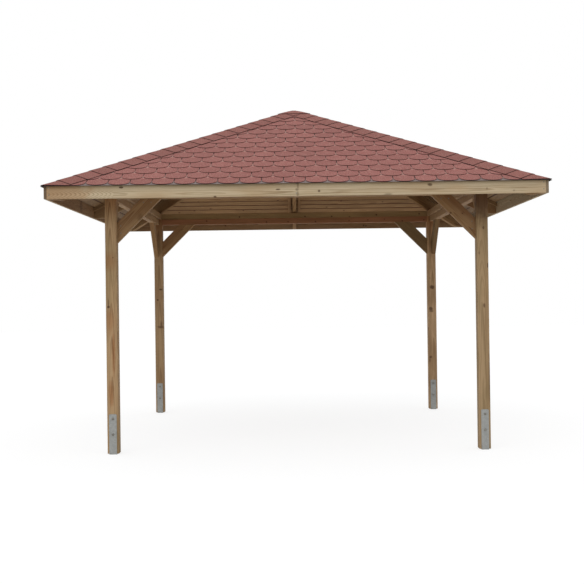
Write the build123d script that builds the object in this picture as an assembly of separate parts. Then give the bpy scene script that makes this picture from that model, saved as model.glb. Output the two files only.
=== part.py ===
from build123d import *
import math
import os

# Garden gazebo: four posts, a ring of plates and beams, eight rafters and a shingled hip roof.
# Millimetres, +Z up. The origin is on the ground midway between the posts, and the front faces -Y.

timber_arris = 3  # small flat that takes the sharp edge off every long timber

# Posts and their steel anchors
post_width = 90
post_spread = 3040  # over the outside faces, the same both ways
post_top = 2085
anchor_base_thick = 6
anchor_leg_thick = 5
anchor_leg_width = 60
anchor_leg_top = 318
anchor_corner = 8
bolt_hole = 11
bolt_from_top = 36
bolt_spacing = 125

# Ring on the posts: plates, beams under them and braces
plate_height = 58
beam_width = 58
brace_width = 115
brace_thick = 44
brace_reach = 350  # along the beam, from the post's face to the brace's lower edge

# Roof
roof_pitch = 25
eave_half = 1910  # centre to the fascia's outer face
fascia_thick = 22
fascia_width = 115
rafter_thick = 40
rafter_depth = 130
rafter_seat = 61  # level part of the notch over the plate
deck_thick = 18
batten_width = 30
batten_depth = 30
batten_clear = 16  # between a batten and the rafter beside it
panel_gap = 2  # each side of a joint between roof panels
shingle_thick = 6
shingle_overhang = 24
cap_wing = 165  # from the hip line to the edge of a hip cap, along the slope
apex_cap_half = 150
crown_flat = 50  # width of the flat that the peak is blunted to
hub_across = 120
hub_drop = 20  # how far the hub reaches under the rafters

# Sizes that follow
post_half = post_spread / 2
post_inner = post_half - post_width
plate_top = post_top + plate_height
beam_bottom = post_top - beam_width
slope_tan = math.tan(math.radians(roof_pitch))
slope_cos = math.cos(math.radians(roof_pitch))
tail_half = eave_half - fascia_thick
shingle_half = eave_half + shingle_overhang

# Heights at which each layer's slopes would meet over the centre
rafter_under_apex = plate_top + (post_half - rafter_seat) * slope_tan
rafter_apex = rafter_under_apex + rafter_depth / slope_cos
batten_apex = rafter_apex - batten_depth / slope_cos
deck_apex = rafter_apex + deck_thick / slope_cos
shingle_apex = deck_apex + shingle_thick / slope_cos
cap_apex = shingle_apex + shingle_thick / slope_cos
apex_cap_apex = cap_apex + shingle_thick / slope_cos
crown_top = apex_cap_apex - crown_flat / 2 * slope_tan
fascia_bottom = deck_apex - tail_half * slope_tan - fascia_width
below_eaves = fascia_bottom - fascia_width  # a level that is clear below every roof layer

sides = ["front", "right", "back", "left"]
corners = ["front_left", "front_right", "back_right", "back_left"]


def block(low, high):
    """A box between two corners."""
    centre = [(a + b) / 2 for a, b in zip(low, high)]
    size = [b - a for a, b in zip(low, high)]
    return Pos(*centre) * Box(*size)


def quarter(shape, turns):
    """The shape turned by whole quarter turns about the middle of the gazebo."""
    return Rot(0, 0, 90 * turns) * shape


def side_profile(points, width):
    """A profile of (distance towards the front, height) points, carried sideways."""
    outline = Polyline([(0, -out, up) for out, up in points], close=True)
    return extrude(make_face(outline), amount=width / 2, both=True)


def plan_prism(points, low, high):
    """A plan outline carried from one height to another."""
    outline = Polyline([(x, y, low) for x, y in points], close=True)
    return extrude(make_face(outline), amount=high - low, dir=(0, 0, 1))


def roof_solid(apex, half, base):
    """Everything under four equal slopes, with plumb sides at half and a level base."""
    eave = apex - half * slope_tan
    gable = [(-half, base), (half, base), (half, eave), (0, apex), (-half, eave)]
    prism = side_profile(gable, 2 * half)
    return prism & quarter(prism, 1)


def roof_layer(upper_apex, lower_apex, half):
    """The layer between two sets of slopes, blunted at the peak under the apex cap."""
    beyond = half + fascia_thick
    layer = roof_solid(upper_apex, half, below_eaves) - roof_solid(lower_apex, beyond, below_eaves)
    flat = crown_top - shingle_thick
    return layer & block((-beyond, -beyond, below_eaves), (beyond, beyond, flat))


def ease_long_edges(solid, count):
    """The given number of the longest edges, chamfered."""
    return chamfer(solid.edges().sort_by(SortBy.LENGTH)[-count:], timber_arris)


def ease_underside(solid, count):
    """The lowest of the given number of longest edges, chamfered."""
    longest = solid.edges().sort_by(SortBy.LENGTH)[-count:]
    return chamfer(longest.group_by(Axis.Z)[0], timber_arris)


# Posts and anchors
def make_post():
    shaft = block(
        (-post_width / 2, -post_width / 2, anchor_base_thick),
        (post_width / 2, post_width / 2, post_top),
    )
    shaft = chamfer(shaft.edges().filter_by(Axis.Z), timber_arris)
    return shaft - bolt_holes(post_width)


def bolt_holes(reach):
    holes = []
    for drop in (bolt_from_top, bolt_from_top + bolt_spacing):
        height = anchor_leg_top - drop
        holes.append(Pos(0, 0, height) * Rot(90, 0, 0) * Cylinder(bolt_hole / 2, 2 * reach))
    return holes


def make_anchor():
    half_width = anchor_leg_width / 2
    outer = post_width / 2 + anchor_leg_thick
    legs = block((-half_width, -outer, 0), (half_width, outer, anchor_leg_top))
    top_corners = legs.edges().filter_by(Axis.Y).group_by(Axis.Z)[-1]
    legs = fillet(top_corners, anchor_corner)
    inside = block(
        (-anchor_leg_width, -post_width / 2, anchor_base_thick),
        (anchor_leg_width, post_width / 2, anchor_leg_top + 1),
    )
    return legs - inside - bolt_holes(outer)


# Ring on the posts
def make_plate(turns):
    """A full-length plate. At each corner two plates are halved over each other."""
    plate = block((-post_half, -post_half, post_top), (post_half, -post_inner, plate_top))
    plate = ease_long_edges(plate, 4)
    middle = post_top + plate_height / 2
    low, high = (post_top, middle) if turns % 2 == 0 else (middle, plate_top)
    for start in (-post_half, post_inner):
        plate -= block((start, -post_half, low), (start + post_width, -post_inner, high))
    return plate


def member_outer(turns, thick):
    """Outer face of a beam or brace: inside-flush at front and back, outside-flush at the sides."""
    return post_inner + thick if turns % 2 == 0 else post_half


def make_beam(turns):
    outer = member_outer(turns, beam_width)
    beam = block((-post_inner, -outer, beam_bottom), (post_inner, beam_width - outer, post_top))
    return ease_long_edges(beam, 4)


def make_brace(turns, hand):
    """A brace from a post's face up to the beam's underside, at 45 degrees."""
    rise = brace_width * math.sqrt(2)
    foot = beam_bottom - brace_reach
    outline = [
        (hand * post_inner, foot),
        (hand * (post_inner - brace_reach), beam_bottom),
        (hand * (post_inner - brace_reach + rise), beam_bottom),
        (hand * post_inner, foot + rise),
    ]
    outer = member_outer(turns, brace_thick)
    face = make_face(Polyline([(x, -outer, z) for x, z in outline], close=True))
    return ease_long_edges(extrude(face, amount=brace_thick, dir=(0, 1, 0)), 4)


def plate_ring():
    outer = block((-post_half, -post_half, post_top), (post_half, post_half, plate_top))
    inner = block(
        (-post_inner, -post_inner, post_top - 1), (post_inner, post_inner, plate_top + 1)
    )
    return outer - inner


# Rafters
def rafter_outline(stretch, start, spare):
    """Side view of a rafter. Stretch is 1 square to the eaves and the root of 2 along a hip."""
    level_half = (rafter_under_apex - fascia_bottom) / slope_tan
    start_out = start / stretch
    return [
        (start, rafter_apex - start_out * slope_tan + spare),
        (tail_half * stretch, rafter_apex - tail_half * slope_tan + spare),
        (tail_half * stretch, fascia_bottom),
        (level_half * stretch, fascia_bottom),
        (start, rafter_under_apex - start_out * slope_tan),
    ]


def make_middle_rafter():
    blank = side_profile(rafter_outline(1, hub_across / 2, 0), rafter_thick)
    return ease_underside(blank, 4) - plate_ring()


def make_hip_rafter():
    """A hip rafter, its top backed to both slopes and its tail fitted into the fascia corner."""
    outline = rafter_outline(math.sqrt(2), hub_across / 2, rafter_thick)
    blank = Rot(0, 0, -45) * side_profile(outline, rafter_thick)
    backed = blank & roof_solid(rafter_apex, tail_half, fascia_bottom)
    return ease_underside(backed, 5) - plate_ring()


def make_hub():
    """The eight-sided block that the rafters butt against."""
    under = rafter_under_apex - hub_across / 2 * slope_tan - hub_drop
    prism = extrude(
        Pos(0, 0, under) * RegularPolygon(hub_across / 2, 8, major_radius=False, rotation=22.5),
        amount=rafter_apex - under,
    )
    return prism & roof_solid(rafter_apex, hub_across, under - 1)


# Roof covering
def make_deck_half(hand):
    """Half of a boarded slope with a batten beside the middle rafter and one beside the hip."""
    shift = panel_gap * math.sqrt(2)
    corner = eave_half
    half_plan = [
        (hand * panel_gap, -(panel_gap + shift)),
        (hand * (corner - shift), -corner),
        (hand * panel_gap, -corner),
    ]
    plan = plan_prism(half_plan, below_eaves, deck_apex)
    panel = roof_layer(deck_apex, rafter_apex, tail_half) & plan
    near = rafter_thick / 2 + batten_clear
    far = near + batten_width
    start = far + far * math.sqrt(2) + batten_clear
    strip_middle = [(near, -start), (far, -start), (far, -corner), (near, -corner)]
    near_hip = near * math.sqrt(2)
    far_hip = far * math.sqrt(2)
    strip_hip = [
        (start - near_hip, -start),
        (corner - near_hip, -corner),
        (corner - far_hip, -corner),
        (start - far_hip, -start),
    ]
    under_layer = roof_layer(rafter_apex, batten_apex, tail_half)
    for strip in (strip_middle, strip_hip):
        plan = plan_prism([(hand * x, y) for x, y in strip], below_eaves, deck_apex)
        panel += under_layer & plan
    return panel


def make_shingles():
    """The shingles of the front slope, from hip to hip."""
    shift = panel_gap * math.sqrt(2)
    corner = shingle_half + shingle_overhang
    outline = [(0, -shift), (shift - corner, -corner), (corner - shift, -corner)]
    wedge = plan_prism(outline, below_eaves, shingle_apex)
    return roof_layer(shingle_apex, deck_apex, shingle_half) & wedge


def make_hip_cap():
    """A folded strip over the front left hip, from the eave corner to the peak."""
    plan_wing = cap_wing * math.sqrt((1 + slope_cos**2) / 2)
    half_strip = plan_wing * math.sqrt(2)
    end = shingle_half + shingle_overhang
    strip = [
        (0, 0),
        (-half_strip, 0),
        (-end, half_strip - end),
        (-end, -end),
        (half_strip - end, -end),
        (0, -half_strip),
    ]
    return roof_layer(cap_apex, shingle_apex, shingle_half) & plan_prism(strip, below_eaves, cap_apex)


def make_apex_cap():
    base = fascia_bottom
    reach = apex_cap_half
    below_flat = block((-reach, -reach, base), (reach, reach, crown_top))
    upper = roof_solid(apex_cap_apex, reach, base) & below_flat
    over = reach + shingle_thick
    flat = crown_top - shingle_thick
    lower = roof_solid(cap_apex, over, base) & block((-over, -over, base), (over, over, flat))
    return upper - lower


def make_fascia(turns):
    """A fascia bevelled to the slope. The side ones run through and cover the others' ends."""
    ring = roof_solid(deck_apex, eave_half, fascia_bottom)
    end = tail_half if turns % 2 == 0 else eave_half
    strip = block((-end, -eave_half, fascia_bottom), (end, -tail_half, deck_apex))
    board = ring & strip
    bottom = board.edges().filter_by(Axis.X).group_by(Axis.Z)[0]
    return chamfer(bottom, timber_arris)


parts = {}
for turns, corner in enumerate(corners):
    x = post_half - post_width / 2
    spot = Rot(0, 0, 90 * turns) * Pos(-x, -x, 0)
    level_spot = Pos(spot.position.X, spot.position.Y, 0)
    parts[corner + "_post"] = level_spot * make_post()
    parts[corner + "_anchor"] = level_spot * make_anchor()
    along_front = quarter(make_brace(turns, -1), turns)
    along_side = quarter(make_brace(turns - 1, 1), turns - 1)
    parts[corner + "_braces"] = Compound([along_front, along_side])
    parts[corner + "_hip_rafter"] = quarter(make_hip_rafter(), turns)
    parts[corner + "_hip_cap"] = quarter(make_hip_cap(), turns)
for turns, side in enumerate(sides):
    parts[side + "_plate"] = quarter(make_plate(turns), turns)
    parts[side + "_beam"] = quarter(make_beam(turns), turns)
    parts[side + "_middle_rafter"] = quarter(make_middle_rafter(), turns)
    parts[side + "_deck"] = quarter(Compound([make_deck_half(-1), make_deck_half(1)]), turns)
    parts[side + "_fascia"] = quarter(make_fascia(turns), turns)
    parts[side + "_shingles"] = quarter(make_shingles(), turns)
parts["apex_block"] = make_hub()
parts["apex_cap"] = make_apex_cap()

os.makedirs("parts", exist_ok=True)
for name, shape in parts.items():
    export_step(shape, "parts/" + name + ".step")
    print(name, len(shape.solids()), round(shape.volume / 1e6, 2))
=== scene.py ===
import math

import bpy
import numpy as np
from mathutils import Euler, Matrix, Vector


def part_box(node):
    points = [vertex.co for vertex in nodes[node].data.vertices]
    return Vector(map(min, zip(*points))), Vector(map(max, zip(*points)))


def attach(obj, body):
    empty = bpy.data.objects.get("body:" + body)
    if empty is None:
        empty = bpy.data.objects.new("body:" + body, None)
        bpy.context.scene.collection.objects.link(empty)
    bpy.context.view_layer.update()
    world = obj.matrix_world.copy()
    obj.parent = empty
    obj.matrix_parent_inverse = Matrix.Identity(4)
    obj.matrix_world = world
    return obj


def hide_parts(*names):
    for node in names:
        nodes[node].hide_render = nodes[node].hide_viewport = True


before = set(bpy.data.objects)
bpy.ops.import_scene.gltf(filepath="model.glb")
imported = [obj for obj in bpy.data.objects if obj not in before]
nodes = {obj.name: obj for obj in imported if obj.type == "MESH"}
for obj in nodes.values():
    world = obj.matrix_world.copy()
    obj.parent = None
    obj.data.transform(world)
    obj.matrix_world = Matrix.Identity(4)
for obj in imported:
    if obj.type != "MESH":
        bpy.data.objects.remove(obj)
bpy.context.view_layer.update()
scene = bpy.context.scene
sides = ["front", "right", "back", "left"]  # each a quarter turn on from the one before
corners = ["front_left", "front_right", "back_right", "back_left"]
dice = np.random.default_rng(41)
print("frame:", len(nodes), "nodes")

# Planes of the roof, from its pitch and the frame. Slopes are given by where they would meet over the centre.
roofForm = {"pitch": 25, "deckThick": 0.018, "layer": 0.006}
tanPitch = math.tan(math.radians(roofForm["pitch"]))
cosPitch = math.cos(math.radians(roofForm["pitch"]))
sinPitch = math.sin(math.radians(roofForm["pitch"]))
dripHalf = -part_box("front_shingles")[0].y
tailHalf = -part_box("front_deck")[0].y
fasciaHalf = -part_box("front_fascia")[0].y
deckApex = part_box("front_shingles")[0].z + dripHalf * tanPitch
rafterApex = deckApex - roofForm["deckThick"] / cosPitch


# Node helpers

def addNode(tree, kind, inputs=None, **settings):
    made = tree.nodes.new(kind)
    for key, value in settings.items():
        setattr(made, key, value)
    for key, value in (inputs or {}).items():
        if isinstance(value, bpy.types.NodeSocket):
            tree.links.new(value, made.inputs[key])
        else:
            made.inputs[key].default_value = value
    return made


def firstOut(tree, kind, inputs, **settings):
    return addNode(tree, kind, inputs, **settings).outputs[0]


def calc(tree, operation, *values):
    return firstOut(tree, "ShaderNodeMath", dict(enumerate(values)), operation=operation)


def times(tree, first, second):
    return calc(tree, "MULTIPLY", first, second)


def minus(tree, first, second):
    return calc(tree, "SUBTRACT", first, second)


def weighed(tree, value, weight, base):
    # value times weight, plus base
    return calc(tree, "MULTIPLY_ADD", value, weight, base)


def vectorCalc(tree, operation, *values, output=0):
    made = addNode(tree, "ShaderNodeVectorMath", dict(enumerate(values)), operation=operation)
    return made.outputs[output]


def stretch(tree, vector, amounts):
    return vectorCalc(tree, "MULTIPLY", vector, amounts)


def split(tree, vector):
    return addNode(tree, "ShaderNodeSeparateXYZ", {0: vector}).outputs


def join(tree, x, y, z):
    return firstOut(tree, "ShaderNodeCombineXYZ", {0: x, 1: y, 2: z})


def noise(tree, vector, scale=1.0, detail=2.0, roughness=0.5, output="Fac"):
    settings = {"Vector": vector, "Scale": scale, "Detail": detail, "Roughness": roughness}
    return addNode(tree, "ShaderNodeTexNoise", settings).outputs[output]


def objectPlace(tree):
    return addNode(tree, "ShaderNodeTexCoord").outputs["Object"]


def carried(tree, label, output="Fac"):
    # an attribute of the piece's own mesh
    return addNode(tree, "ShaderNodeAttribute", attribute_name=label).outputs[output]


def fade(tree, value, low, high, start=0.0, end=1.0):
    settings = {0: value, 1: low, 2: high, 3: start, 4: end}
    return firstOut(tree, "ShaderNodeMapRange", settings, interpolation_type="SMOOTHSTEP")


def blend(tree, factor, first, second, mode="MIX"):
    settings = {0: factor, 6: first, 7: second}
    made = addNode(tree, "ShaderNodeMix", settings, data_type="RGBA", blend_type=mode)
    return made.outputs[2]


def linear(red, green, blue):
    # display colour, 0 to 255, to the linear colour that a shader takes
    scaled = [channel / 255 for channel in (red, green, blue)]
    bent = [c / 12.92 if c <= 0.04045 else ((c + 0.055) / 1.055) ** 2.4 for c in scaled]
    return (*bent, 1.0)


def newGroup(name, inputs):
    # an input without a value is a vector, one with four numbers a colour
    group = bpy.data.node_groups.new(name, "ShaderNodeTree")
    for label, value in inputs.items():
        kind = "Vector" if value is None else "Color" if isinstance(value, tuple) else "Float"
        socket = group.interface.new_socket(label, in_out="INPUT", socket_type="NodeSocket" + kind)
        if value is not None:
            socket.default_value = value
    for label, kind in (("Colour", "Color"), ("Roughness", "Float"), ("Height", "Float")):
        group.interface.new_socket(label, in_out="OUTPUT", socket_type="NodeSocket" + kind)
    entry = group.nodes.new("NodeGroupInput")
    leave = group.nodes.new("NodeGroupOutput")
    return group, entry.outputs, leave.inputs


def newMaterial(name):
    material = bpy.data.materials.new(name)
    material.use_nodes = True
    tree = material.node_tree
    shader = tree.nodes["Principled BSDF"]
    return material, tree, shader


# Shared effects

def buildTimberGroup():
    # growth rings round a wandering pith, fibres along the grain, streaks, knots that push the rings aside
    inputs = {
        "Grain Space": None,
        "Pith Y": 0.01,
        "Pith Z": 0.01,
        "Ring Width": 0.004,
        "Wander": 0.03,
        "Early Wood": linear(176, 150, 118),
        "Late Wood": linear(120, 90, 60),
        "Stain": linear(128, 118, 84),
        "Knot": linear(92, 52, 30),
        "Ring Strength": 0.6,
        "Knot Share": 0.4,
        "Knot Size": 0.011,
        "Taper": 0.02,
        "Flare": 0.0,
        "Shade": 0.0,
        "Tint": linear(214, 170, 128),
        "Tint And Shade Share": 0.0,
    }
    group, given, out = newGroup("sawnTimber", inputs)
    along, across, deep = split(group, given["Grain Space"])

    # knots: one chance per cell, measured in true distance from the cell's point
    cell = (0.30, 0.085, 0.085)
    scaled = vectorCalc(group, "DIVIDE", given["Grain Space"], cell)
    spots = addNode(group, "ShaderNodeTexVoronoi", {"Vector": scaled, "Scale": 1.0})
    away = vectorCalc(group, "SUBTRACT", spots.outputs["Position"], scaled)
    away = stretch(group, away, cell)
    dent = noise(group, given["Grain Space"], 60.0, 1.0)
    distance = vectorCalc(group, "LENGTH", away, output=1)
    distance = calc(group, "ADD", distance, times(group, dent, 0.004))
    lot = split(group, spots.outputs["Color"])
    chosen = calc(group, "LESS_THAN", lot[0], given["Knot Share"])
    size = times(group, given["Knot Size"], fade(group, lot[1], 0.0, 1.0, 0.6, 1.5))
    share = calc(group, "DIVIDE", distance, size)
    knot = times(group, fade(group, share, 1.15, 0.85), chosen)
    rim = times(group, fade(group, share, 0.55, 1.0), knot)
    halo = times(group, fade(group, share, 4.0, 0.8), chosen)

    # rings
    drift = noise(group, join(group, times(group, along, 0.9), 0.0, 0.0), 1.0, 1.0, output="Color")
    drift = split(group, vectorCalc(group, "SUBTRACT", drift, (0.5, 0.5, 0.5)))
    ringY = minus(group, across, given["Pith Y"])
    ringY = weighed(group, drift[0], given["Wander"], ringY)
    ringZ = minus(group, deep, given["Pith Z"])
    ringZ = weighed(group, drift[1], given["Wander"], ringZ)
    radius = vectorCalc(group, "LENGTH", join(group, 0.0, ringY, ringZ), output=1)
    stretched = stretch(group, given["Grain Space"], (5.0, 45.0, 45.0))
    radius = weighed(group, noise(group, stretched, 1.0, 2.0), 0.0035, radius)
    radius = weighed(group, halo, given["Knot Size"], radius)
    radius = weighed(group, along, given["Taper"], calc(group, "ADD", radius, given["Flare"]))
    phase = calc(group, "FRACT", calc(group, "DIVIDE", radius, given["Ring Width"]))
    late = times(group, fade(group, phase, 0.35, 0.9), fade(group, phase, 1.0, 0.93))

    # fibres, streaks and stain
    fibre = noise(group, stretch(group, given["Grain Space"], (7.0, 420.0, 420.0)), 1.0, 3.0)
    streak = noise(group, stretch(group, given["Grain Space"], (1.3, 38.0, 38.0)), 1.0, 3.0)
    patch = noise(group, stretch(group, given["Grain Space"], (1.7, 6.0, 6.0)), 1.0, 3.0, 0.6)
    wood = times(group, late, given["Ring Strength"])
    wood = weighed(group, minus(group, streak, 0.5), 1.5, wood)
    wood = weighed(group, minus(group, fibre, 0.5), 0.7, wood)
    wood = weighed(group, halo, 0.25, wood)
    clear = firstOut(group, "ShaderNodeClamp", {0: wood})
    colour = blend(group, clear, given["Early Wood"], given["Late Wood"])
    colour = blend(group, fade(group, patch, 0.42, 0.68, 0.0, 0.65), colour, given["Stain"])
    colour = blend(group, times(group, knot, 0.8), colour, given["Knot"])
    colour = blend(group, times(group, rim, 0.5), colour, linear(46, 27, 18))
    # Tint multiplies in a warm brown: real tints of the wood, and painted shade on inner faces and under the
    # eaves
    colour = blend(group, given["Tint And Shade Share"], colour, given["Tint"], "MULTIPLY")
    # Shade blends towards a dark brown: the real darkness of knots and end grain, and painted shade in board
    # grooves, on inner faces and under the eaves
    group.links.new(blend(group, given["Shade"], colour, linear(66, 37, 19)), out["Colour"])
    rough = weighed(group, fibre, 0.25, 0.6)
    group.links.new(weighed(group, knot, -0.12, rough), out["Roughness"])
    height = weighed(group, fibre, 0.5, times(group, late, -0.35))
    group.links.new(weighed(group, rim, -0.5, height), out["Height"])
    return group


def buildFeltGroup():
    # mineral granules on bitumen: coarse speckle, a slow cloud of tone, dark bitumen where the cut edge
    # shows, and painted shadow and dirt where the edge attribute runs on past it
    inputs = {
        "Place": None,
        "Tone": 0.5,
        "Edge": 0.0,
        "Granule": linear(161, 102, 95),
        "Pale Granule": linear(190, 158, 147),
        "Dark Granule": linear(99, 53, 51),
        "Bitumen": linear(40, 22, 22),
    }
    group, given, out = newGroup("granuleFelt", inputs)
    grains = addNode(group, "ShaderNodeTexVoronoi", {"Vector": given["Place"], "Scale": 420.0})
    lot = split(group, grains.outputs["Color"])
    speckle = noise(group, given["Place"], 150.0, 3.0, 0.7)
    cloud = noise(group, given["Place"], 5.0, 3.0, 0.6)
    wash = noise(group, given["Place"], 1.1, 2.0)
    colour = blend(group, fade(group, lot[0], 0.72, 0.98, 0.0, 0.75), given["Granule"], given["Pale Granule"])
    colour = blend(group, fade(group, lot[1], 0.66, 0.98, 0.0, 0.85), colour, given["Dark Granule"])
    shade = calc(group, "MINIMUM", given["Tone"], 0.8)
    for mottle, amount in ((cloud, 0.20), (wash, 0.16), (speckle, 0.40)):
        shade = calc(group, "ADD", shade, weighed(group, mottle, amount, -amount / 2))
    shade = weighed(group, shade, 0.76, 0.62)
    colour = blend(group, 1.0, colour, join(group, shade, shade, shade), "MULTIPLY")
    dust = fade(group, given["Tone"], 0.8, 1.4, 0.0, 0.62)
    colour = blend(group, dust, colour, linear(182, 149, 139))
    group.links.new(blend(group, given["Edge"], colour, given["Bitumen"]), out["Colour"])
    group.links.new(fade(group, speckle, 0.3, 0.7, 0.82, 0.97), out["Roughness"])
    group.links.new(weighed(group, lot[2], 0.6, speckle), out["Height"])
    return group


timberGroup = buildTimberGroup()
feltGroup = buildFeltGroup()
print("shared effects ready")


# Materials

def finish(tree, shader, colour, roughness, height, strength, depth=0.001):
    # depth is what the bump's full height stands for, in metres
    relief = addNode(tree, "ShaderNodeBump", {"Height": height, "Distance": depth, "Strength": strength})
    tree.links.new(colour, shader.inputs["Base Color"])
    tree.links.new(roughness, shader.inputs["Roughness"])
    tree.links.new(relief.outputs["Normal"], shader.inputs["Normal"])


def useGroup(tree, shader, group, values, strength, specular):
    # a value of None leaves the effect's own one
    given = {label: value for label, value in values.items() if value is not None}
    made = addNode(tree, "ShaderNodeGroup", given, node_tree=group).outputs
    finish(tree, shader, made["Colour"], made["Roughness"], made["Height"], strength)
    shader.inputs["Specular IOR Level"].default_value = specular


def useTimber(tree, shader, grainSpace, look, shade=None, tintAndShadeShare=None, flare=None):
    fed = {"Grain Space": grainSpace, "Shade": shade, "Tint And Shade Share": tintAndShadeShare, "Flare": flare}
    useGroup(tree, shader, timberGroup, {**look, **fed}, 0.5, 0.3)


def woods(early, late, stain=None):
    # display colours of the pale and dark parts of the rings, and of the stain
    look = {"Early Wood": linear(*early), "Late Wood": linear(*late)}
    return {**look, "Stain": linear(*stain)} if stain else look


timberLooks = {
    "post": {
        **woods((180, 152, 117), (120, 92, 62), (138, 118, 84)),
        "Ring Width": 0.0065,
        "Knot Share": 0.42,
        "Knot Size": 0.012,
    },
    "frame": {
        **woods((166, 136, 100), (112, 78, 48), (128, 92, 60)),
        "Ring Width": 0.006,
        "Knot Share": 0.3,
    },
    "board": {
        **woods((192, 156, 117), (136, 99, 65), (150, 118, 84)),
        "Ring Width": 0.005,
        "Knot Share": 0.25,
        "Knot Size": 0.009,
    },
    "fascia": {
        **woods((199, 185, 158), (138, 116, 86), (180, 156, 124)),
        "Ring Width": 0.0045,
        "Ring Strength": 0.9,
        "Wander": 0.035,
        "Knot Share": 0.16,
        "Knot Size": 0.009,
    },
}
backPostStain = {"Stain": linear(152, 120, 88)}
boardPith = {"Pith Y": -0.001, "Pith Z": 0.0}
# what a single timber has of its own, over the look of its kind
ownLooks = {
    "front_right_post": {"Late Wood": linear(126, 104, 70), "Ring Strength": 0.5},
    "back_right_post": {**backPostStain, "Early Wood": linear(216, 183, 145)},
    "back_left_post": backPostStain,
    "back_right_braces": woods((136, 112, 78), (92, 68, 42)),
    "back_plate": woods((158, 132, 94), (108, 82, 50), (124, 100, 66)),
    "back_beam": woods((160, 112, 80), (112, 68, 46)),
    "right_fascia": boardPith,
    "back_fascia": boardPith,
    "left_fascia": boardPith,
    "front_fascia": {
        "Pith Y": 0.049,
        "Pith Z": -0.026,
        "Ring Width": 0.0038,
        "Ring Strength": 0.62,
        "Taper": 0.003,
        "Wander": 0.012,
    },
}
grainStart = (3, 60)  # where a timber's grain may start along its own tree
variety = {
    "warm": (0.97, 1.03),
    "pithY": (-0.03, 0.03),
    "pithZ": (0.015, 0.06),  # to either side
    "postPith": (-0.012, 0.012),
}
braceGrain = {
    "apart": 3.7,  # between the grains of the two braces on one post
    "middle": 2.25,  # of a brace's width, square to the brace
    "deep": 1.46,  # from the gazebo's middle to the pith's plane
}


def variedLook(kind, low=0.9, high=1.1):
    # one kind of timber, a little lighter or darker and with its pith elsewhere
    gain = dice.uniform(low, high)
    warm = dice.uniform(*variety["warm"])
    look = dict(timberLooks[kind])
    for label in ("Early Wood", "Late Wood", "Stain"):
        red, green, blue, alpha = look[label]
        look[label] = (red * gain * warm, green * gain, blue * gain / warm, alpha)
    look["Pith Y"] = dice.uniform(*variety["pithY"])
    look["Pith Z"] = dice.uniform(*variety["pithZ"]) * dice.choice((-1, 1))
    return look


def spotMask(tree, place, spots):
    # the strongest of several soft ellipsoids: each has a centre, three half sizes, a softness and a strength
    mask = None
    ragged = noise(tree, place, 30.0, 2.0) if spots else None
    for centre, size, soft, strength in spots:
        away = vectorCalc(tree, "DIVIDE", vectorCalc(tree, "SUBTRACT", place, centre), size)
        share = weighed(tree, ragged, 0.7, vectorCalc(tree, "LENGTH", away, output=1))
        spot = fade(tree, share, 1.35 + soft, 1.35 - soft, 0.0, strength)
        mask = spot if mask is None else calc(tree, "MAXIMUM", mask, spot)
    return mask


def braceMaterial(name, look, knots):
    # braces lean at 45 degrees either way: the smaller of |x| and |y| runs along the frame
    material, tree, shader = newMaterial(name)
    whole = objectPlace(tree)
    place = split(tree, whole)
    flatX = calc(tree, "ABSOLUTE", place[0])
    flatY = calc(tree, "ABSOLUTE", place[1])
    run = calc(tree, "MINIMUM", flatX, flatY)
    deep = calc(tree, "MAXIMUM", flatX, flatY)
    other = times(tree, calc(tree, "GREATER_THAN", flatX, flatY), braceGrain["apart"])
    along = times(tree, minus(tree, place[2], run), math.sqrt(0.5))
    along = calc(tree, "ADD", along, calc(tree, "ADD", other, dice.uniform(*grainStart)))
    across = times(tree, calc(tree, "ADD", place[2], run), math.sqrt(0.5))
    across = minus(tree, across, braceGrain["middle"])
    grainSpace = join(tree, along, across, minus(tree, deep, braceGrain["deep"]))
    useTimber(tree, shader, grainSpace, look, spotMask(tree, whole, knots))
    return material


def boardMaterial(name, look, knots=()):
    # for boards and battens, whose grain space is carried by their own attribute
    material, tree, shader = newMaterial(name)
    # painted shade in and beside the V grooves, from the groove attribute
    shade = times(tree, carried(tree, "groove"), 0.85)
    if knots:
        shade = calc(tree, "MAXIMUM", shade, spotMask(tree, objectPlace(tree), knots))
    useTimber(tree, shader, carried(tree, "grainSpace", "Vector"), look, shade)
    return material


def feltMaterial(name, colours):
    material, tree, shader = newMaterial(name)
    fed = {"Place": objectPlace(tree), "Tone": carried(tree, "tone"), "Edge": carried(tree, "edge")}
    useGroup(tree, shader, feltGroup, {**colours, **fed}, 0.6, 0.2)
    return material


def zincMaterial(name, pale, dark, rough):
    # spangled zinc with dull runs and white bloom
    material, tree, shader = newMaterial(name)
    place = objectPlace(tree)
    spangle = addNode(tree, "ShaderNodeTexVoronoi", {"Vector": place, "Scale": 90.0})
    lot = split(tree, spangle.outputs["Color"])
    runs = noise(tree, stretch(tree, place, (60.0, 60.0, 9.0)), 1.0, 3.0)
    bloom = noise(tree, place, 25.0, 4.0, 0.65)
    tint = blend(tree, fade(tree, lot[0], 0.0, 1.0, 0.15, 0.75), pale, dark)
    tint = blend(tree, fade(tree, runs, 0.45, 0.7, 0.0, 0.4), tint, dark)
    tint = blend(tree, fade(tree, bloom, 0.55, 0.8, 0.0, 0.35), tint, linear(192, 192, 188))
    finish(tree, shader, tint, fade(tree, bloom, 0.3, 0.7, rough, rough + 0.25), bloom, 0.3, 0.0006)
    tree.links.new(fade(tree, bloom, 0.5, 0.75, 0.4, 0.15), shader.inputs["Metallic"])
    return material


def paint(nodeName, material):
    piece = nodes[nodeName]
    piece.data.materials.clear()
    piece.data.materials.append(material)


def faceMarks(y, rows, deep=0.03):
    # marks on a face square to the photograph: x, z, half width, half height, softness and strength
    return [((x, y, z), (wide, deep, high), soft, strong) for x, z, wide, high, soft, strong in rows]


def smallKnots(y, spots):
    return faceMarks(y, [(x, z, 0.009, 0.008, 0.35, strong) for x, z, strong in spots])
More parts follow.
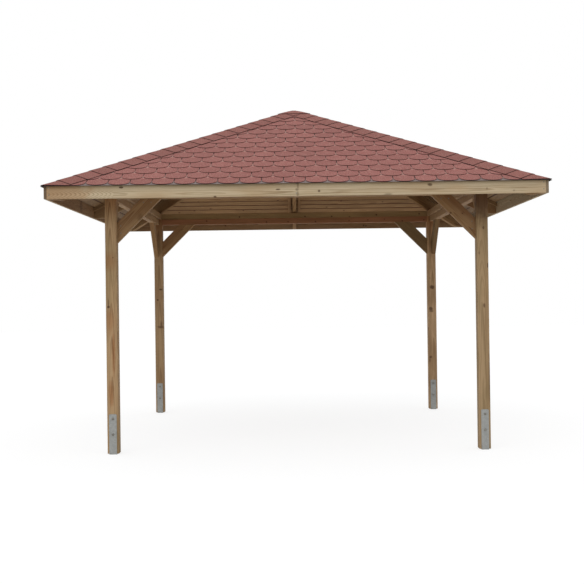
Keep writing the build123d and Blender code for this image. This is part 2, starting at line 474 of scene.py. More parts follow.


# the marks that the photograph shows, where it shows them: knots, stains and dark end grain, and painted
# shade on the fascias' inner faces and at the top of the front right post
knotAndShadeSpots = {
    "front_fascia": faceMarks(-1.91, [
        (-1.325, 2.074, 0.016, 0.008, 0.25, 0.85),
        (-0.616, 1.995, 0.012, 0.007, 0.25, 0.80),
        (-0.139, 2.044, 0.016, 0.005, 0.30, 0.85),
        (0.171, 2.028, 0.009, 0.009, 0.30, 0.70),
        (1.011, 2.065, 0.018, 0.011, 0.35, 0.75),
        (1.484, 2.094, 0.016, 0.006, 0.25, 0.80),
        (1.442, 2.030, 0.006, 0.009, 0.40, 0.40),
        (0.693, 1.997, 0.032, 0.007, 0.50, 0.45),
        (1.646, 2.013, 0.009, 0.007, 0.40, 0.35),
        (0.012, 2.075, 0.007, 0.030, 0.60, 0.45),
        (0.006, 2.040, 0.012, 0.010, 0.60, 0.50),
        (0.010, 2.008, 0.008, 0.020, 0.60, 0.45),
        (0.075, 2.085, 0.030, 0.008, 0.60, 0.22),
    ]),
    "left_fascia": [
        ((-1.899, -1.91, 2.05), (0.030, 0.003, 0.10), 0.2, 0.75),
        # painted shade on the inner face, under the roof
        ((-1.883, 0.0, 2.05), (0.011, 3.0, 0.30), 0.1, 0.28),
        ((-1.888, -0.62, 2.05), (0.01, 0.07, 0.06), 0.4, 0.6),
        ((-1.888, 0.65, 2.05), (0.01, 0.09, 0.06), 0.4, 0.6),
    ],
    "right_fascia": [
        ((1.899, -1.91, 2.05), (0.030, 0.003, 0.10), 0.2, 0.55),
        # painted shade on the inner face, under the roof
        ((1.883, 0.0, 2.05), (0.011, 3.0, 0.30), 0.1, 0.16),
    ],
    "back_fascia": smallKnots(1.885, [(-0.776, 2.042, 0.9), (0.780, 2.027, 0.9), (0.805, 2.022, 0.9)]) + [
        ((0.42, 1.885, 2.040), (0.16, 0.02, 0.012), 0.6, 0.4),
        # painted shade on the inner face, under the roof
        ((0.0, 1.883, 2.06), (3.0, 0.011, 0.3), 0.1, 0.27),
    ],
    "back_plate": smallKnots(1.43, [
        (-0.594, 2.103, 0.8),
        (0.114, 2.099, 0.8),
        (0.402, 2.097, 0.8),
        (0.594, 2.091, 0.5),
        (0.886, 2.108, 0.8),
        (1.348, 2.113, 0.7),
    ]),
    "back_beam": smallKnots(1.42, [
        (-0.949, 2.063, 0.7),
        (-0.303, 2.045, 0.8),
        (-0.069, 2.044, 0.7),
        (0.227, 2.043, 0.8),
        (0.590, 2.049, 0.5),
        (0.792, 2.054, 0.6),
        (0.972, 2.059, 0.4),
        (1.165, 2.038, 0.7),
        (1.398, 2.046, 0.7),
    ]),
    "front_left_braces": faceMarks(-1.474, [
        (-1.243, 1.871, 0.022, 0.034, 0.6, 0.34),
        (-1.313, 1.766, 0.010, 0.020, 0.6, 0.25),
    ]),
    "front_right_braces": smallKnots(-1.474, [(1.232, 1.884, 0.75)]) + [
        ((1.25, -1.474, 1.9), (0.4, 0.1, 0.4), 0.2, 0.2),
    ],
    "back_left_post": faceMarks(1.43, [
        (-1.454, 1.331, 0.016, 0.010, 0.40, 0.70),
        (-1.487, 1.218, 0.010, 0.009, 0.35, 0.75),
        (-1.458, 0.926, 0.032, 0.014, 0.50, 0.62),
        (-1.452, 0.955, 0.012, 0.030, 0.60, 0.50),
    ]),
    "back_right_post": faceMarks(1.43, [
        (1.478, 1.319, 0.024, 0.020, 0.40, 0.78),
        (1.460, 1.085, 0.020, 0.020, 0.40, 0.72),
        (1.466, 1.060, 0.020, 0.012, 0.50, 0.60),
        (1.452, 0.563, 0.016, 0.014, 0.50, 0.65),
        (1.443, 0.530, 0.008, 0.020, 0.50, 0.45),
        (1.454, 1.416, 0.006, 0.008, 0.40, 0.40),
        (1.431, 0.877, 0.006, 0.012, 0.40, 0.45),
    ]),
    "front_left_post": faceMarks(-1.52, [
        (-1.499, 1.168, 0.010, 0.012, 0.3, 0.85),
        (-1.500, 1.198, 0.004, 0.035, 0.4, 0.6),
        (-1.460, 1.560, 0.006, 0.007, 0.3, 0.5),
    ], 0.02),
    "front_right_post": faceMarks(-1.52, [
        (1.484, 1.760, 0.008, 0.012, 0.4, 0.6),
        (1.447, 1.560, 0.008, 0.012, 0.4, 0.35),
        (1.516, 1.460, 0.006, 0.020, 0.4, 0.8),
        (1.482, 1.143, 0.009, 0.016, 0.4, 0.6),
    ], 0.02) + [
        ((1.515, -1.50, 0.600), (0.006, 0.03, 0.250), 0.5, 0.55),
        # painted shade of the eaves at the top of the post
        ((1.475, -1.52, 2.010), (0.070, 0.15, 0.180), 0.5, 0.74),
    ],
}
boardKnots = [
    (-1.041, 1.483, 2.275),
    (-1.270, 1.690, 2.179),
    (-1.100, 1.657, 2.194),
    (-0.920, 1.621, 2.211),
    (-0.562, 1.663, 2.192),
    (-0.178, 1.475, 2.279),
    (0.510, 1.501, 2.267),
    (0.890, 1.565, 2.237),
    (0.962, 1.527, 2.255),
    (0.356, 1.613, 2.214),
    (0.549, 1.689, 2.179),
]
# warm tints: real ones on the front fascia and the front posts, and painted shade on the left and back
# fascias' inner faces
tintAndShadeSpots = {
    "left_fascia": [((-1.883, 0.0, 2.05), (0.011, 3.0, 0.30), 0.1, 0.7)],
    "back_fascia": [((0.0, 1.883, 2.06), (3.0, 0.011, 0.30), 0.1, 0.6)],
    "front_fascia": faceMarks(-1.91, [(-1.910, 2.030, 0.370, 0.078, 0.22, 0.42)], 0.1),
    "front_left_post": faceMarks(-1.52, [
        (-1.490, 1.530, 0.050, 0.060, 0.8, 0.5),
        (-1.490, 1.060, 0.035, 0.090, 0.8, 0.5),
        (-1.463, 0.800, 0.012, 0.170, 0.6, 0.7),
        (-1.485, 0.480, 0.020, 0.100, 0.6, 0.6),
    ], 0.1),
    "front_right_post": faceMarks(-1.52, [
        (1.500, 1.150, 0.020, 0.400, 0.8, 0.15),
        (1.503, 0.500, 0.015, 0.300, 0.8, 0.15),
    ], 0.1),
}
flames = {"front_fascia": (-1.38, 0.115)}  # where a board's rings flare into arches, and how fast
markedShare = 0.06  # knots left to chance on a timber that has marks of its own
postEaveShade = (1.80, 2.08, 0.6)  # heights between which a post darkens under the eaves, and by how much: painted shade of the eaves


def paintTimber(nodeName, look, grain, under=None):
    # the object's own coordinates, turned so that X runs along the grain and centred on the timber
    knots = knotAndShadeSpots.get(nodeName, ())
    if knots:
        look["Knot Share"] = markedShare
    look.update(ownLooks.get(nodeName, {}))
    low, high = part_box(nodeName)
    grain = Vector(grain).normalized()
    level = Vector((0, 0, 1)).cross(grain)
    level = level.normalized() if level.length > 0.01 else Vector((1, 0, 0))
    turn = Matrix((grain, level, grain.cross(level)))
    shift = Vector((dice.uniform(*grainStart), 0, 0)) - turn @ ((low + high) / 2)
    material, tree, shader = newMaterial(nodeName + "Pine")
    place = objectPlace(tree)
    settings = {"Vector": place, "Location": shift, "Rotation": turn.to_euler("XYZ")}
    mapped = firstOut(tree, "ShaderNodeMapping", settings)
    flare = None
    if nodeName in flames:
        # the rings widen quickly along one end, which closes them into arches there
        start, slope = flames[nodeName]
        flare = times(tree, minus(tree, split(tree, place)[0], start), slope)
        flare = calc(tree, "MINIMUM", flare, 0.0)
    tintAndShadeShare = spotMask(tree, place, tintAndShadeSpots.get(nodeName, ()))
    if under:
        # painted shade of the eaves: the timber is darker and browner towards its top
        eaveShade = fade(tree, split(tree, place)[2], under[0], under[1], 0.0, under[2])
        tintAndShadeShare = eaveShade if tintAndShadeShare is None else calc(tree, "MAXIMUM", tintAndShadeShare, eaveShade)
    useTimber(tree, shader, mapped, look, spotMask(tree, place, knots), tintAndShadeShare, flare)
    paint(nodeName, material)


steel = zincMaterial("galvanisedSteel", linear(167, 169, 167), linear(148, 150, 149), 0.45)
boltSteel = zincMaterial("boltZinc", linear(150, 148, 140), linear(104, 102, 96), 0.35)
inwards = [(1, 1), (-1, 1), (-1, -1), (1, -1)]  # from each corner to the middle
for corner, (inX, inY) in zip(corners, inwards):
    postLook = variedLook("post", 0.95, 1.05)
    postLook["Pith Y"] = dice.uniform(*variety["postPith"])
    postLook["Pith Z"] = dice.uniform(*variety["postPith"])
    paintTimber(corner + "_post", postLook, (0, 0, 1), postEaveShade)
    paintTimber(corner + "_hip_rafter", variedLook("frame"), (inX, inY, tanPitch))
    braces = corner + "_braces"
    braceLook = {**variedLook("frame"), **ownLooks.get(braces, {})}
    paint(braces, braceMaterial(corner + "BracePine", braceLook, knotAndShadeSpots.get(braces, ())))
    paint(corner + "_anchor", steel)
for index, side in enumerate(sides):
    run = (1, 0, 0) if index % 2 == 0 else (0, 1, 0)
    inward = [(0, 1), (-1, 0), (0, -1), (1, 0)][index]
    beamLook = variedLook("frame")
    paintTimber(side + "_plate", variedLook("frame"), run)
    paintTimber(side + "_beam", beamLook, run)
    paintTimber(side + "_fascia", variedLook("fascia", 0.97, 1.03), run)
    paintTimber(side + "_middle_rafter", variedLook("frame"), (*inward, tanPitch))
paintTimber("apex_block", variedLook("frame"), (0, 0, 1))
print("timbers and steel painted")


# Surfaces on grids

def triples(x, y, z):
    # one point, or one vector, for each place in the grids x, y and z
    return np.stack(np.broadcast_arrays(x, y, z), axis=-1)


def gridFaces(rows, columns):
    # quads of a grid of points kept row after row, facing up when columns run right and rows run on
    corner = np.arange((rows - 1) * columns).reshape(rows - 1, columns)[:, :-1].ravel()
    return np.stack([corner, corner + 1, corner + columns + 1, corner + columns], axis=1)


def shellFaces(rows, columns):
    # a top grid, the same grid below it facing down, and walls round the rim
    count = rows * columns
    top = gridFaces(rows, columns)
    index = np.arange(count).reshape(rows, columns)
    rim = np.concatenate([index[0, :-1], index[:-1, -1], index[-1, :0:-1], index[:0:-1, 0]])
    after = np.roll(rim, -1)
    walls = np.stack([rim, rim + count, after + count, after], axis=1)
    return np.concatenate([top, top[:, ::-1] + count, walls])


def tubeFaces(steps, rows=2):
    # walls between closed rings of points kept row after row, and a flat end on the first and the last
    faces = []
    for row in range(rows - 1):
        ring = np.arange(steps) + row * steps
        after = np.roll(ring, -1)
        faces += zip(ring, after, after + steps, ring + steps)
    return faces + [range(steps - 1, -1, -1), range((rows - 1) * steps, rows * steps)]


def shiftFaces(faces, step):
    # the same faces on points that come later by that many
    return [[int(corner) + step for corner in face] for face in faces]


def repeatFaces(faces, copies, pointsEach):
    # the same faces on each of several like grids, one after the other
    steps = np.arange(copies)[:, None, None] * pointsEach
    return (faces[None] + steps).reshape(-1, faces.shape[1])


def turnQuarters(points, turns):
    # quarter turns about the gazebo's middle, from front towards right
    angle = turns * math.pi / 2
    cos, sin = math.cos(angle), math.sin(angle)
    return points @ np.array([[cos, sin, 0], [-sin, cos, 0], [0, 0, 1]])


def makePiece(name, points, faces, material, replaced=(), attributes=None):
    # each attribute gives every point one number or one vector
    mesh = bpy.data.meshes.new(name)
    mesh.from_pydata(points.reshape(-1, 3).tolist(), [], [list(map(int, face)) for face in faces])
    for label, values in (attributes or {}).items():
        kind, field = ("FLOAT", "value") if values.ndim == 1 else ("FLOAT_VECTOR", "vector")
        layer = mesh.attributes.new(label, kind, "POINT")
        layer.data.foreach_set(field, values.astype(np.float32).ravel())
    mesh.materials.append(material)
    mesh.validate()
    piece = bpy.data.objects.new(name, mesh)
    scene.collection.objects.link(piece)
    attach(piece, "root")
    if replaced:
        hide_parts(*replaced)


def slopePoint(across, up, height):
    # front slope: across it, up it from the drip edge, and square out from the boards' top face
    out = dripHalf - up * cosPitch + height * sinPitch
    base = deckApex - dripHalf * tanPitch
    rise = base + up * sinPitch + height * cosPitch
    return triples(across, -out, rise)


def hipReach(up, clear):
    # how far the front slope runs to either side at a height up it, held back from the hip
    return dripHalf - up * cosPitch - clear


# Roof boards and battens: a closed section carried along each board, its ends cut along the hip

boardForm = {
    "cover": 0.087,
    "groove": 0.006,  # chamfer on each lower edge, two of them make the V groove
    # width over which the painted shade fades onto the board's face
    "shadeAndDirtBand": 0.002,
    "seam": 0.0006,
    "hipClear": 0.003,
    "middleClear": 0.002,
    "battenSize": 0.03,
    "battenClear": 0.016,
    "rafterHalf": 0.02,
    "battenArris": 0.002,
    "thinner": 0.0004,  # a board may be this much thinner than the boards' layer
    "leastHalf": 0.004,  # of the shortest board, beside the peak
    "dark": (1.0, 1.0, 1.0, 0.7, 0.0, 0.0, 0.7, 1.0),  # painted shadow and dirt at each point of the section
    "grainStart": (2, 80),
    "pithSide": (-0.03, 0.03),
    "pithDeep": (0.01, 0.05),
    "battenPith": 0.02,
}


def deckHalf(hand):
    # section points (up the slope, down from the top face) for every board, at both ends
    form = boardForm
    eaveUp = (dripHalf - tailHalf) / cosPitch
    topUp = (dripHalf - form["middleClear"] * 2) / cosPitch
    count = int(math.ceil((topUp - eaveUp) / form["cover"]))
    start = eaveUp + form["cover"] * np.arange(count) + form["seam"] / 2
    stop = np.minimum(start + form["cover"] - form["seam"], topUp)
    thick = roofForm["deckThick"] + dice.uniform(-form["thinner"], 0.0, count)
    groove = form["groove"]
    lift = np.zeros(count)
    lip = groove + form["shadeAndDirtBand"]
    up = [start, stop, stop, stop - groove, stop - lip, start + lip, start + groove, start]
    up = np.stack(up, axis=1)
    down = [lift, lift, thick - groove, thick, thick, thick, thick, thick - groove]
    down = np.stack(down, axis=1)
    # the lowest board is cut plumb behind the fascia
    plumb = dripHalf - tailHalf
    up = np.maximum(up, (plumb - down * sinPitch) / cosPitch)
    out = dripHalf - up * cosPitch - down * sinPitch
    inner = np.full_like(up, form["middleClear"])
    outer = np.maximum(out - form["hipClear"], inner + form["leastHalf"])
    points = np.stack([slopePoint(hand * edge, up, -down) for edge in (inner, outer)], axis=1)
    offset = dice.uniform(*form["grainStart"], count)[:, None, None]
    side = dice.uniform(*form["pithSide"], count)[:, None, None]
    deep = dice.uniform(*form["pithDeep"], count)[:, None, None]
    across = np.stack([inner, outer], axis=1)
    centre = (start + stop)[:, None, None] / 2
    grain = triples(across + offset, up[:, None, :] - centre + side, down[:, None, :] + deep)
    dark = np.broadcast_to(form["dark"], across.shape)
    corners = up.shape[1]
    faces = tubeFaces(corners)
    if hand < 0:
        faces = [face[::-1] for face in faces]
    allFaces = [face for board in range(count) for face in shiftFaces(faces, 2 * corners * board)]
    return points.reshape(-1, 3), grain.reshape(-1, 3), allFaces, dark.ravel()


def battenPoints(hand, alongHip):
    # a square batten under the boards beside the middle rafter or the hip rafter, bevelled along its length
    form = boardForm
    near = form["rafterHalf"] + form["battenClear"]
    far = near + form["battenSize"]
    first = far + far * math.sqrt(2) + form["battenClear"]
    arris = form["battenArris"]
    size = form["battenSize"]
    offset = np.array([near, far, far, far - arris, near + arris, near])
    depth = np.array([0, 0, size - arris, size, size, size - arris])
    out = np.array([[first], [tailHalf]])
    across = out - offset * math.sqrt(2) if alongHip else offset
    points = triples(hand * across, -out, rafterApex - out * tanPitch - depth / cosPitch)
    length = (tailHalf - first) * (math.sqrt(2) if alongHip else 1)
    base = dice.uniform(*form["grainStart"])
    grain = triples(np.array([[base], [base + length]]), offset, depth + form["battenPith"])
    faces = tubeFaces(len(offset))
    # near to far turns one way beside the middle rafter and the other beside the hip
    if (hand > 0) == alongHip:
        faces = [face[::-1] for face in faces]
    return points.reshape(-1, 3), grain.reshape(-1, 3), faces, np.zeros(2 * len(offset))


boardMarks = [(spot, (0.011, 0.011, 0.007), 0.35, 0.7) for spot in boardKnots]
boardPine = boardMaterial("boardPine", timberLooks["board"], boardMarks)
# a darker copy of the boards for the left and right slopes: painted shade
shadedBoardLook = {**timberLooks["board"], **woods((148, 119, 86), (102, 76, 49), (118, 94, 62))}
shadedBoardPine = boardMaterial("shadedBoardPine", shadedBoardLook)
for turns, side in enumerate(sides):
    points, grains, faces, dark, total = [], [], [], [], 0
    for hand in (-1, 1):
        for made in (deckHalf(hand), battenPoints(hand, False), battenPoints(hand, True)):
            points.append(made[0])
            grains.append(made[1])
            faces += shiftFaces(made[2], total)
            dark.append(made[3])
            total += len(made[0])
    placed = turnQuarters(np.concatenate(points), turns)
    attributes = {"grainSpace": np.concatenate(grains), "groove": np.concatenate(dark)}
    pine = boardPine if turns % 2 == 0 else shadedBoardPine
    makePiece(side + "Boards", placed, faces, pine, [side + "_deck"], attributes)
print("roof boards laid")


# Shingles: every tab is a thin shell over a grid. Its butt is an ellipse's arc and its head dives under the
# next row.

shingleForm = {
    "tab": 1 / 6,
    "exposure": 0.133,
    "arc": 0.055,
    "arcReach": 0.997,  # share of the ellipse's half width that a tab takes up
    "slit": 0.0068,
    # the dark underlay beyond each tab's head shows at the top of the slit above it, as painted shade under
    # the butt
    "head": 0.226,
    "firstButt": 0.004,
    "buttTop": 0.0060,
    "buttUnder": 0.0030,
    "fall": 0.0234,  # metres down per metre up the slope, for the top face
    "underFall": 0.0142,
    "headTop": 0.0009,
    "headUnder": 0.00055,
    "rowDrift": 0.0021,  # each row sits this much further right, as the real ones do
    "driftRows": 9,
    "edgeBand": 0.006,  # dirt and shadow just above each cut edge
    "phase": 0.070,
    "columns": 15,
    "rise": (0.30, 0.60, 0.76, 1.0),  # rows of points up a tab, above its edge band
    "least": 0.002,  # height of the shortest column that the hip leaves
    "buttJitter": 0.0012,
    "sideJitter": 0.0007,
    "curl": 0.0006,  # how far a butt may lift
    "toneJitter": 0.045,
    "paleFrom": 0.7,  # share of the height above which heads keep their pale dust
    "stopOut": 0.036,
    "hipClear": 0.004,
    "underlay": 0.0005,
    "starter": 0.0013,
    "starterUp": (0.002, 0.010, 0.075, 0.090),  # rows of the starter strip, which falls to the underlay
    "starterEdge": (1.0, 0.1, 0.1, 0.9, 0.9),  # how much bitumen shows in each row, from the drip edge up: the cut edge at the drip, and above the starter a dark sheet that shows at the top of each slit as painted shade
}
shingleTop = (dripHalf - shingleForm["stopOut"]) / cosPitch  # up the slope, under the peak cap


def shingleTabs():
    # left end, right end and butt line of each tab: rows every exposure, the odd ones half a tab on
    form = shingleForm
    tabs = []
    for row in range(int(shingleTop / form["exposure"]) + 1):
        butt = form["firstButt"] + row * form["exposure"]
        shift = form["phase"] + (form["tab"] / 2 if row % 2 else 0)
        shift += form["rowDrift"] * min(row, form["driftRows"])
        reach = hipReach(butt, form["hipClear"])
        first = int(math.floor((-reach - shift) / form["tab"]))
        last = int(math.ceil((reach - shift) / form["tab"]))
        for place in range(first, last):
            left = shift + place * form["tab"] + form["slit"] / 2
            tabs.append((left, left + form["tab"] - form["slit"], butt))
    return np.array(tabs)


def shingleSlope():
    # each column of a tab runs from the butt's arc, arc * (1 - sqrt(1 - x^2)), to its head or to the hip
    form = shingleForm
    left, right, butt = shingleTabs().T
    count = len(left)
    butt = butt + dice.normal(0, form["buttJitter"], count)
    left = left + dice.normal(0, form["sideJitter"], count)
    fan = np.sin(np.linspace(-math.pi / 2, math.pi / 2, form["columns"]))
    rise = np.array([0.0, form["edgeBand"] / form["head"], *form["rise"]])
    middle = ((left + right) / 2)[:, None]
    half = ((right - left) / 2)[:, None]
    across = middle + half * fan
    arc = form["arc"] * (1 - np.sqrt(1 - (form["arcReach"] * fan) ** 2))
    start = butt[:, None] + arc
    hipTop = (dripHalf - form["hipClear"] - np.abs(across)) / cosPitch
    stop = np.minimum(np.minimum(butt[:, None] + form["head"], shingleTop), hipTop)
    keep = (stop - start).max(axis=1) > 2 * form["least"]
    across, start, stop, butt = across[keep], start[keep], stop[keep], butt[keep]
    count = len(across)
    # columns that the hip cuts off entirely are drawn in to the nearest one that it doesn't
    valid = (stop - start) > form["least"]
    order = np.arange(form["columns"])
    nearest = np.abs(order[None, :, None] - order[None, None, :]) + 2 * len(order) * ~valid[:, None, :]
    chosen = nearest.argmin(axis=2)
    rowIndex = np.arange(count)[:, None]
    across, start, stop = across[rowIndex, chosen], start[rowIndex, chosen], stop[rowIndex, chosen]
    up = start[:, None, :] + (stop - start)[:, None, :] * rise[None, :, None]
    across = np.broadcast_to(across[:, None, :], up.shape)
    depth = up - butt[:, None, None]
    curl = dice.uniform(0, form["curl"], count)[:, None, None] * np.clip(1 - depth / form["exposure"], 0, 1)
    top = np.maximum(form["buttTop"] - form["fall"] * depth, form["headTop"]) + curl
    under = np.maximum(form["buttUnder"] - form["underFall"] * depth, form["headUnder"]) + curl
    points = np.stack([slopePoint(across, up, top), slopePoint(across, up, under)], axis=1)
    # dark bitumen under each tab and on its butt's cut edge, fading over the edge band above it: painted
    # shadow and dirt
    edge = np.zeros(points.shape[:-1])
    edge[:, :, 0] = 1.0
    edge[:, 1] = 1.0
    # the dust on the heads shows at the foot of each slit
    pale = np.where(rise > form["paleFrom"], 1.0, 0.0)[None, None, :, None]
    tone = dice.normal(0.5, form["toneJitter"], count)[:, None, None, None] + pale
    tone = np.broadcast_to(tone, points.shape[:-1])
    faces = repeatFaces(shellFaces(len(rise), form["columns"]), count, 2 * len(rise) * form["columns"])
    return points, faces, edge.ravel(), tone.ravel()


def underlaySlope():
    # a flat sheet from the drip edge to under the peak cap, thicker in the starter strip
    form = shingleForm
    up = np.array([*form["starterUp"], shingleTop])[:, None]
    reach = hipReach(up, form["hipClear"])
    across = reach * np.array([-1.0, 1.0])[None, :]
    up = np.broadcast_to(up, across.shape)
    height = np.where(up < form["starterUp"][3], form["starter"], form["underlay"])
    points = np.stack([slopePoint(across, up, height), slopePoint(across, up, 0.0)])
    edge = np.concatenate([np.repeat(form["starterEdge"], 2), np.ones(across.size)])
    return points, shellFaces(*across.shape), edge


redFelt = feltMaterial("redGranules", {})
greyFelt = feltMaterial("greyGranules", {
    "Granule": linear(150, 132, 128),
    "Pale Granule": linear(186, 176, 172),
    "Dark Granule": linear(104, 90, 90),
    "Bitumen": linear(34, 26, 21),
})
for turns, side in enumerate(sides):
    points, faces, edge, tone = shingleSlope()
    placed = turnQuarters(points, turns)
    attributes = {"edge": edge, "tone": tone}
    makePiece(side + "Shingles", placed, faces, redFelt, [side + "_shingles"], attributes)
    points, faces, edge = underlaySlope()
    attributes = {"edge": edge, "tone": np.full(len(edge), 0.5)}
    makePiece(side + "Starter", turnQuarters(points, turns), faces, greyFelt, (), attributes)
print("shingles laid")


# Hip caps: short strips bent over the hip by a quadratic curve, each lapping the one below

capForm = {
    "exposure": 0.150,
    "length": 0.200,
    "wing": 0.165,
    "taper": 0.010,
    "firstLap": 0.022,
    "foldRadius": 0.014,
    "buttTop": 0.0115,
    "headTop": 0.0070,
    "droop": 0.0015,
    "thick": 0.004,
    "rimThick": 0.0065,
    "edgeBand": 0.007,
    "half": (1.0, 0.955, 0.8, 0.6, 0.4, 0.2, 0.085, 0.042),  # columns of points on a wing, rim to fold
    "rise": (0.4, 0.76, 1.0),  # rows of points up a cap, above its edge band
    "shortest": 0.05,
    "lapJitter": 0.003,
    "skewJitter": 0.002,
    "tone": 0.46,
    "toneJitter": 0.05,
    "dripUp": 0.0065,
    "stopOut": 0.056,
}
lean = math.atan(1 / cosPitch)  # between a hip and the drip edge, in the plane of the slope


def wingPoint(along, aside, height, hand):
    # along the hip from its corner and square to it on the slope, on the front slope's left or right end
    across = -dripHalf + along * math.cos(lean) + aside * math.sin(lean)
    return slopePoint(hand * -across, along * math.sin(lean) - aside * math.cos(lean), height)


def capRow():
    # each cap falls in a straight line from its butt to its head. Towards its rims it droops by the square
    # of the distance from the hip and thickens by the fourth power.
    form = capForm
    hipLength = math.hypot(math.sqrt(2), tanPitch) * (dripHalf - form["stopOut"])
    butts = np.arange(0, hipLength - form["shortest"], form["exposure"])
    butts = butts + (form["firstLap"] + dice.normal(0, form["lapJitter"], len(butts))) * (butts > 0)
    count = len(butts)
    half = np.array(form["half"])
    fan = np.concatenate([half, [0.0], -half[::-1]])
    rise = np.array([0.0, form["edgeBand"] / form["length"], *form["rise"]])
    skew = dice.normal(0, form["skewJitter"], count)[:, None, None]
    wing = form["wing"] - form["taper"] * rise[None, :, None]
    aside = fan[None, None, :] * wing + skew
    reach = np.abs(aside)
    drip = (form["dripUp"] + reach * math.cos(lean)) / math.sin(lean)
    # a wing's own rows start where it meets the drip edge
    start = np.maximum(butts[:, None, None], drip)
    stop = np.minimum(butts[:, None, None] + form["length"], hipLength)
    along = start + (stop - start) * rise[None, :, None]
    depth = (along - butts[:, None, None]) / form["length"]
    top = form["buttTop"] + (form["headTop"] - form["buttTop"]) * depth
    top = top - form["droop"] * (reach / form["wing"]) ** 2
    thick = form["thick"] + (form["rimThick"] - form["thick"]) * (reach / form["wing"]) ** 4
    points = np.stack([bentOver(along, aside, height) for height in (top, top - thick)], axis=1)
    # dark bitumen underneath and on the cut edges, fading over the edge band above the butt and over a band
    # in from each rim: painted shadow and dirt
    edge = np.zeros(points.shape[:-1])
    edge[:, :, 0] = 1.0
    edge[:, 1] = 1.0
    edge[..., [0, -1]] = 1.0
    tone = dice.normal(form["tone"], form["toneJitter"], count)[:, None, None, None]
    tone = np.broadcast_to(tone, edge.shape)
    faces = repeatFaces(shellFaces(len(rise), len(fan)), count, 2 * len(rise) * len(fan))
    return points, faces, edge.ravel(), tone.ravel()


def bentOver(along, aside, height):
    # flat on each slope outside the fold, and between them a quadratic curve pulled towards the hip line
    fold = capForm["foldRadius"]
    reach = np.maximum(np.abs(aside), fold)
    right = wingPoint(along, reach, height, 1)
    left = turnQuarters(wingPoint(along, reach, height, -1), 1)
    share = np.clip(aside / fold, -1, 1)[..., None] / 2 + 0.5
    atHip = wingPoint(along, 0 * reach, height, 1)
    atHip = (atHip + turnQuarters(wingPoint(along, 0 * reach, height, -1), 1)) / 2
    curve = (1 - share) ** 2 * left + 2 * share * (1 - share) * atHip + share**2 * right
    flat = np.where(aside[..., None] > 0, right, left)
    return np.where(np.abs(aside)[..., None] >= fold, flat, curve)


capFelt = feltMaterial("capGranules", {
    "Granule": linear(153, 97, 89),
    "Pale Granule": linear(182, 149, 138),
    "Dark Granule": linear(94, 51, 49),
})
for turns, corner in enumerate(corners):
    points, faces, edge, tone = capRow()
    placed = turnQuarters(points, turns - 1)
    attributes = {"edge": edge, "tone": tone}
    makePiece(corner + "Caps", placed, faces, capFelt, [corner + "_hip_cap"], attributes)


peakForm = {
    "half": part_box("apex_cap")[1].x,
    "clear": 0.0004,
    "round": 0.010,
    "sag": 0.0155,
    "columns": 31,
    "thick": 0.004,
    "rimDroop": 0.004,
    "rimDrop": 0.001,
    "square": 16,  # power that makes the level lines square, with round corners
    "cornerOut": 1.03,
    "cutEdge": 0.985,  # share of the half width from which the cut edge shows
}


def apexCap():
    # a square cap folded over all four hips, its top rounded: it falls as sqrt(far^2 + round^2)
    form = peakForm
    half = form["half"] - form["clear"]
    grid = np.sin(np.linspace(-1, 1, form["columns"]) * math.pi / 2) * half
    x, y = np.meshgrid(grid, grid)
    far = (np.abs(x) ** form["square"] + np.abs(y) ** form["square"]) ** (1 / form["square"])
    far = np.minimum(far, half * form["cornerOut"])
    peak = deckApex + 3 * roofForm["layer"] / cosPitch
    rim = np.maximum(np.abs(x), np.abs(y)) / half
    top = peak - form["clear"] - tanPitch * np.sqrt(far**2 + form["round"] ** 2)
    top = top - form["rimDroop"] * rim**3 - form["sag"] * (1 - rim)
    under = top - form["thick"] - form["rimDrop"] * rim**6
    points = np.stack([triples(x, y, top), triples(x, y, under)])
    edge = np.stack([np.where(rim > form["cutEdge"], 1.0, 0.0), np.ones_like(rim)])
    return points, shellFaces(*x.shape), edge.ravel()


points, faces, edge = apexCap()
attributes = {"edge": edge, "tone": np.full(len(edge), 0.5)}
makePiece("peakCap", points, faces, capFelt, ["apex_cap"], attributes)
print("hips capped")


# Bolts through the anchors: rings of points along an axis, closed by flat ends

boltForm = {
    "fromTop": 0.036,
    "spacing": 0.125,
    "washer": 0.0105,
    "washerThick": 0.002,
    "headAcross": 0.0085,
    "headHigh": 0.0065,
    "nutHigh": 0.008,
    "shank": 0.005,
    "shankOut": 0.004,
    "steps": 24,
}


def turnedSolid(profile, steps, hexagon=()):
    # profile of (height, radius); rows named in hexagon follow a hexagon instead of a circle
    angle = np.arange(steps) * 2 * math.pi / steps
    sector = (angle + math.pi / 6) % (math.pi / 3) - math.pi / 6
    rings = []
    for row, (height, radius) in enumerate(profile):
        reach = radius / np.cos(sector) if row in hexagon else np.full(steps, radius)
        rings.append(triples(reach * np.cos(angle), reach * np.sin(angle), height))
    return np.concatenate(rings), tubeFaces(steps, len(profile))


def boltEnd(nut):
    # a washer with a six-sided head on it, or with a nut and the end of the shank
    form = boltForm
    base = form["washerThick"]
    high = form["nutHigh"] if nut else form["headHigh"]
    across = form["headAcross"]
    washer = form["washer"]
    profile = [(0, washer), (base * 0.8, washer), (base, washer * 0.95), (base, across)]
    profile += [(base + high * 0.82, across), (base + high, across * 0.9)]
    hexagon = {3, 4}  # the sides of the head or nut, below its chamfer
    if nut:
        profile += [(base + high, form["shank"]), (base + high + form["shankOut"], form["shank"] * 0.9)]
    return turnedSolid(profile, form["steps"], hexagon)


